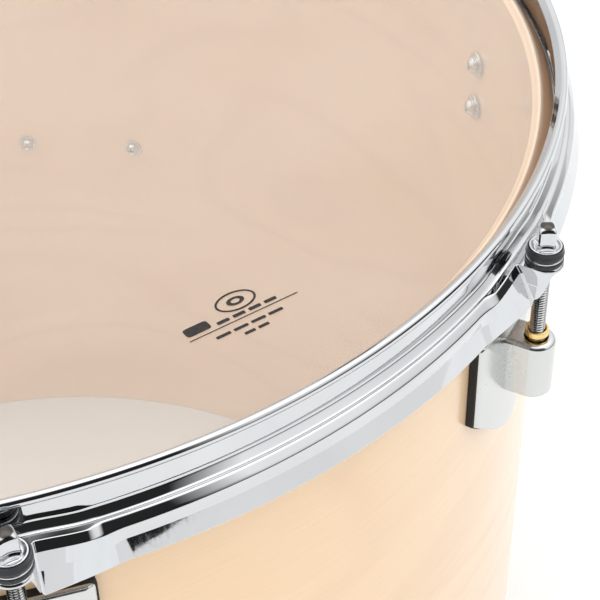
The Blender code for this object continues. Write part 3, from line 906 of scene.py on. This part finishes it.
def cylinder(radius, low, high, steps=48):
    return turned("cylinder", [(radius, low), (radius, high)], steps)


def lug_mesh():
    foot = plate_mesh("foot", shield(0.0), LUG_BACK, LUG_FRONT, LUG_EDGE, 1.1)
    ledge, top, low = HOOP_TOP - NUT_SHOULDER, HOOP_TOP - LUG_TOP, HOOP_TOP - POST_BOTTOM
    return carved(
        foot,
        [
            ("UNION", post_mesh(), (0.0, 0.0, 0.0)),
            ("DIFFERENCE", cylinder(4.3, ledge - 1.0, top + 5.0), (ROD_CIRCLE, 0.0, 0.0)),
            ("DIFFERENCE", cylinder(5.8, low - 5.0, ledge), (ROD_CIRCLE, 0.0, 0.0)),
        ],
    )


def cross_recess(depth, half_length, half_width):
    """A cross-shaped cutter for a screw's drive, from height 0 down to the depth."""
    plan = [(half_length, half_width), (half_width, half_width), (half_width, half_length)]
    outline = []
    for quarter in range(4):
        turn = Matrix.Rotation(math.radians(90.0 * quarter), 2)
        outline += [tuple(turn @ Vector(point)) for point in plan]
    rings = []
    for level, scale in ((0.5, 1.25), (-0.6 * depth, 0.8), (-depth, 0.35)):
        rings.append([(x * scale, y * scale, level) for x, y in outline])
    return skin("cross", rings)


SCREW_SEAT = 244.8
SCREW_HEAD = 4.4


def screw_mesh():
    """A domed screw lying along X with a cross drive in its head."""
    seat = SCREW_SEAT - 1.2
    corners = [
        (0.3, -(SCREW_SEAT - SCREW_HEAD), 0.0),
        (2.2, -(SCREW_SEAT - SCREW_HEAD), 1.2),
        (3.6, -(SCREW_SEAT - SCREW_HEAD + 1.6), 0.8),
        (3.6, -seat, 0.2),
        (2.4, -seat, 0.1),
        (2.4, -(LUG_FRONT - 2.0), 0.0),
    ]
    body = turned("screw", rounded(corners, closed=False, steps=5)[::-1], 40)
    recess = cross_recess(1.6, 1.9, 0.42)
    mesh = carved(body, [("DIFFERENCE", recess, (0.0, 0.0, -(SCREW_SEAT - SCREW_HEAD)))])
    mesh.transform(Matrix.Rotation(math.radians(-90.0), 4, "Y"))
    return mesh


def screw_washer_mesh(outer=5.8):
    corners = [
        (2.7, SCREW_SEAT - 1.2, 0.1),
        (outer, SCREW_SEAT - 1.2, 0.35),
        (outer, SCREW_SEAT, 0.2),
        (2.7, SCREW_SEAT, 0.1),
    ]
    return radial(turned("screw_washer", rounded(corners, steps=4), 40, True))


def build_lugs():
    lug = lug_mesh()
    gasket = plate_mesh("gasket", shield(GASKET_MARGIN), GASKET_INNER, GASKET_OUTER, GASKET_OUTER, 0.3)
    screw, washer = screw_mesh(), screw_washer_mesh()
    for number, azimuth in enumerate(ROD_AZIMUTHS, 1):
        piece(f"lug_{number}_cast", lug, SATIN, "shell",
              [f"lug_casting_{number}"], azimuth=azimuth)
        piece(f"lug_{number}_gasket", gasket, RUBBER, "shell",
              [f"lug_gasket_{number}"], azimuth=azimuth)
        for place, depth in zip(("upper", "lower"), SCREW_DEPTHS):
            height = (0.0, 0.0, HOOP_TOP - depth)
            nodes = [f"lug_screw_{number}"] if place == "lower" else ()
            piece(f"lug_{number}_screw_{place}", screw, ZINC, "shell", nodes, height, azimuth)
            piece(f"lug_{number}_washer_{place}", washer, ZINC, "shell", (), height, azimuth)


# ---------------------------------------------------------------- stand bracket

BOLT_SPACING = 66.0
PLATE_HALF_WIDTH = 41.0
PLATE_HALF_HEIGHT = 23.0
BOSS_HALF_WIDTH = 15.0
BOSS_HALF_HEIGHT = 20.0
BOSS_FRONT = 290.0
SOCKET_CIRCLE = 273.0
SOCKET_RADIUS = 6.8
POCKET_END = 285.0
PAD_START = 280.2


def bracket_outline(margin):
    half_width, half_height = PLATE_HALF_WIDTH + margin, PLATE_HALF_HEIGHT + margin
    signs = [(-1, -1), (-1, 1), (1, 1), (1, -1)]
    corners = rounded([(half_width * a, half_height * b, 6.0) for a, b in signs], steps=8)
    dense = []
    for start, end in zip(corners, corners[1:] + corners[:1]):
        pieces = max(1, round(math.dist(start, end) / 6.0))
        for k in range(pieces):
            t = k / pieces
            dense.append((start[0] + t * (end[0] - start[0]), start[1] + t * (end[1] - start[1])))
    return dense


def boss_ring(inset, height):
    front, half = BOSS_FRONT - inset, BOSS_HALF_WIDTH - inset
    back = LUG_BACK + 1.5
    corners = [(back, half, 0.0), (back, -half, 0.0), (front, -half, 7.0), (front, half, 7.0)]
    return [(x, y, height) for x, y in rounded(corners, steps=10)]


def bracket_mesh():
    plate = plate_mesh("plate", bracket_outline(0.0), LUG_BACK, LUG_FRONT, LUG_FRONT - 0.4, 1.2)
    easing, steps, rings = 1.4, 5, []
    for k in range(steps + 1):
        angle = 0.5 * math.pi * k / steps
        inset, drop = easing * (1.0 - math.sin(angle)), easing * (1.0 - math.cos(angle))
        rings.append(boss_ring(inset, drop - BOSS_HALF_HEIGHT))
    for k in range(steps + 1):
        angle = 0.5 * math.pi * k / steps
        inset, drop = easing * (1.0 - math.cos(angle)), easing * (1.0 - math.sin(angle))
        rings.append(boss_ring(inset, BOSS_HALF_HEIGHT - drop))
    lip = [(SOCKET_RADIUS, -30.0), (SOCKET_RADIUS, 19.2), (SOCKET_RADIUS + 2.0, 21.2)]
    steps_cut = [
        ("UNION", skin("boss", rings), (0.0, 0.0, 0.0)),
        ("DIFFERENCE", turned("socket", lip, 48), (SOCKET_CIRCLE, 0.0, 0.0)),
        ("DIFFERENCE", radial(cylinder(5.0, SOCKET_CIRCLE, POCKET_END)), (0.0, 0.0, 0.0)),
        ("DIFFERENCE", radial(cylinder(3.3, POCKET_END - 2.0, BOSS_FRONT + 5.0)), (0.0, 0.0, 0.0)),
    ]
    return carved(plate, steps_cut)


def wing_mesh():
    """Shank, hub and two rounded wings, lying along X."""
    corners = [
        (2.4, PAD_START + 3.3, 0.0),
        (2.95, PAD_START + 3.9, 0.0),
        (2.95, BOSS_FRONT + 5.0, 0.5),
        (5.3, BOSS_FRONT + 5.4, 0.6),
        (5.8, BOSS_FRONT + 8.0, 1.5),
        (4.6, BOSS_FRONT + 12.0, 1.6),
        (0.4, BOSS_FRONT + 12.2, 0.0),
    ]
    hub = radial(turned("hub", rounded(corners, closed=False, steps=5), 40))
    side = [(6.6, -3.0, 1.0), (7.4, -8.0, 4.0), (9.0, -15.4, 3.0), (13.0, -18.0, 3.0), (15.9, -14.6, 3.0),
            (11.4, -5.0, 4.0)]
    outline = rounded(side + [(x, -z, radius) for x, z, radius in reversed(side)], steps=6)
    centre = Vector((BOSS_FRONT + 9.5, 0.0))
    rings = []
    easing = 0.9
    for y in (-1.6, -1.3, -0.8, 0.8, 1.3, 1.6):
        inset = easing * (1.0 - math.sqrt(max(0.0, 1.0 - (max(0.0, abs(y) - 0.7) / easing) ** 2)))
        ring = []
        for x, z in outline:
            point = Vector((BOSS_FRONT + x, z))
            point += (centre - point).normalized() * inset
            ring.append((point.x, y, point.y))
        rings.append(ring)
    return carved(hub, [("UNION", skin("wings", rings), (0.0, 0.0, 0.0))])


def build_bracket():
    height = (0.0, 0.0, BRACKET_HEIGHT)
    piece("bracket_cast", bracket_mesh(), SATIN, "shell", ["bracket_body"],
          height, BRACKET_AZIMUTH)
    gasket = plate_mesh(
        "bracket_pad", bracket_outline(GASKET_MARGIN), GASKET_INNER, GASKET_OUTER, GASKET_OUTER, 0.3
    )
    piece("bracket_pad", gasket, RUBBER, "shell", ["bracket_gasket"],
          height, BRACKET_AZIMUTH)
    bolt, washer = screw_mesh(), screw_washer_mesh(4.8)
    swing = 0.5 * BOLT_SPACING / SHELL_OUTER
    for number, side in ((1, -1.0), (2, 1.0)):
        azimuth = BRACKET_AZIMUTH + side * swing
        piece(f"bracket_screw_{number}", bolt, ZINC, "shell",
              [f"bracket_bolt_{number}"], height, azimuth)
        piece(f"bracket_screw_washer_{number}", washer, ZINC, "shell",
              [f"bracket_washer_{number}"], height, azimuth)
    pad_end = PAD_START + 3.0
    corners = [(0.4, PAD_START, 0.0), (4.6, PAD_START, 0.6), (4.6, pad_end, 0.6), (0.4, pad_end, 0.0)]
    pad = radial(turned("pad", rounded(corners, closed=False, steps=4), 40))
    piece("clamp_disc", pad, ZINC, "clamp_pad", ["clamp_pad"], height, BRACKET_AZIMUTH)
    piece("wing_screw_cast", wing_mesh(), CHROME, "wing_screw", ["wing_screw"],
          height, BRACKET_AZIMUTH)


# ---------------------------------------------------------------- studio

CAMERA_PLACE = Vector((-0.21892, -0.51819, 0.72991))
CAMERA_AIM = Vector((0.48378, 0.60168, -0.6355))
CAMERA_ROLL = 1.149
CAMERA_LENS = 95.27
CAMERA_SHIFT = -2.0 / 600.0
FLOOR_RADIUS = 3.0
CAMERA_SIDE = Vector((-0.616, -0.788))


def build_camera():
    data = bpy.data.cameras.new("camera")
    data.lens = CAMERA_LENS
    data.sensor_width = 36.0
    data.shift_y = CAMERA_SHIFT
    data.clip_start, data.clip_end = 0.01, 50.0
    item = loose("camera", data)
    level = CAMERA_AIM.to_track_quat("-Z", "Y").to_matrix().to_4x4()
    roll = Matrix.Rotation(math.radians(-CAMERA_ROLL), 4, "Z")
    item.matrix_world = Matrix.Translation(CAMERA_PLACE) @ level @ roll
    bpy.context.scene.camera = item


def build_floor():
    """A pale round sheet under the drum."""
    outline = [
        (FLOOR_RADIUS * math.cos(turn), FLOOR_RADIUS * math.sin(turn), 0.0)
        for turn in np.linspace(0.0, 2.0 * math.pi, 96, endpoint=False)
    ]
    mesh = bpy.data.meshes.new("floor")
    mesh.from_pydata(outline, [], [list(range(len(outline)))])
    floor = loose("floor", mesh)
    mesh.materials.append(PAPER)


def grey_ramp(tree, value, stops):
    ramp = tree.nodes.new("ShaderNodeValToRGB")
    tree.links.new(value, ramp.inputs[0])
    elements = ramp.color_ramp.elements
    while len(elements) < len(stops):
        elements.new(0.5)
    for element, (position, tone) in zip(elements, stops):
        element.position = position
        element.color = (tone, tone, tone, 1.0)
    return ramp.outputs["Color"]


def build_light():
    """A white room that metal mirrors as bright overhead, dark at the horizon and behind the camera."""
    world = bpy.data.worlds.new("studio")
    bpy.context.scene.world = world
    world.use_nodes = True
    tree = world.node_tree
    nodes, links = tree.nodes, tree.links
    coords = nodes.new("ShaderNodeTexCoord").outputs["Generated"]
    split = nodes.new("ShaderNodeSeparateXYZ")
    links.new(coords, split.inputs[0])
    sky = [(0.27, 0.98), (0.42, 1.17), (0.65, 1.31), (0.8, 1.75), (1.0, 2.2)]
    bright = grey_ramp(tree, split.outputs["Z"], [(0.0, 0.85), (0.18, 0.85), *sky])
    gloomy = grey_ramp(tree, split.outputs["Z"], [(0.0, 0.03), (0.11, 0.05), (0.18, 0.78), *sky])
    dark = grey_ramp(tree, split.outputs["Z"], [(0.0, 0.02), (0.70, 0.03), (0.86, 1.2), (1.0, 1.5)])
    flat = nodes.new("ShaderNodeVectorMath")
    flat.operation = "MULTIPLY"
    flat.inputs[1].default_value = (1.0, 1.0, 0.0)
    links.new(coords, flat.inputs[0])
    level = nodes.new("ShaderNodeVectorMath")
    level.operation = "NORMALIZE"
    links.new(flat.outputs[0], level.inputs[0])
    toward = nodes.new("ShaderNodeVectorMath")
    toward.operation = "DOT_PRODUCT"
    toward.inputs[1].default_value = (CAMERA_SIDE.x, CAMERA_SIDE.y, 0.0)
    links.new(level.outputs[0], toward.inputs[0])
    share = nodes.new("ShaderNodeMath")
    share.operation = "MULTIPLY_ADD"
    share.inputs[1].default_value = 0.5
    share.inputs[2].default_value = 0.5
    links.new(toward.outputs["Value"], share.inputs[0])
    gloom = grey_ramp(tree, share.outputs[0], [(0.18, 0.0), (0.33, 1.0)])
    above = nodes.new("ShaderNodeMixRGB")
    links.new(gloom, above.inputs[0])
    links.new(bright, above.inputs[1])
    links.new(gloomy, above.inputs[2])
    sides = nodes.new("ShaderNodeMixRGB")
    links.new(grey_ramp(tree, share.outputs[0], [(0.79, 0.0), (0.87, 1.0)]), sides.inputs[0])
    links.new(above.outputs[0], sides.inputs[1])
    links.new(dark, sides.inputs[2])
    lower = nodes.new("ShaderNodeMath")
    lower.operation = "LESS_THAN"
    lower.inputs[1].default_value = -0.012
    links.new(split.outputs["Z"], lower.inputs[0])
    room = nodes.new("ShaderNodeMixRGB")
    links.new(lower.outputs[0], room.inputs[0])
    links.new(sides.outputs[0], room.inputs[1])
    room.inputs[2].default_value = (1.08, 1.08, 1.08, 1.0)
    seen = nodes["Background"]
    links.new(room.outputs[0], seen.inputs["Color"])
    soft = nodes.new("ShaderNodeBackground")
    overhead = grey_ramp(tree, split.outputs["Z"], [(0.0, 0.95), (0.4, 1.0), (0.7, 1.5), (1.0, 3.0)])
    links.new(overhead, soft.inputs["Color"])
    white = nodes.new("ShaderNodeBackground")
    white.inputs["Color"].default_value = (1.0, 1.0, 1.0, 1.0)
    for part in (seen, soft, white):
        part.inputs["Strength"].default_value = 1.0
    rays = nodes.new("ShaderNodeLightPath")
    shine = nodes.new("ShaderNodeMixShader")
    links.new(rays.outputs["Is Glossy Ray"], shine.inputs[0])
    links.new(soft.outputs[0], shine.inputs[1])
    links.new(seen.outputs[0], shine.inputs[2])
    mix = nodes.new("ShaderNodeMixShader")
    links.new(rays.outputs["Is Camera Ray"], mix.inputs[0])
    links.new(shine.outputs[0], mix.inputs[1])
    links.new(white.outputs[0], mix.inputs[2])
    links.new(mix.outputs[0], nodes["World Output"].inputs["Surface"])
    bpy.context.scene.view_settings.view_transform = "Standard"


def main():
    build_camera()
    build_floor()
    build_light()
    build_shell()
    build_film()
    build_flesh_hoop()
    build_mark()
    build_hoop()
    build_rods()
    build_lugs()
    build_bracket()


main()
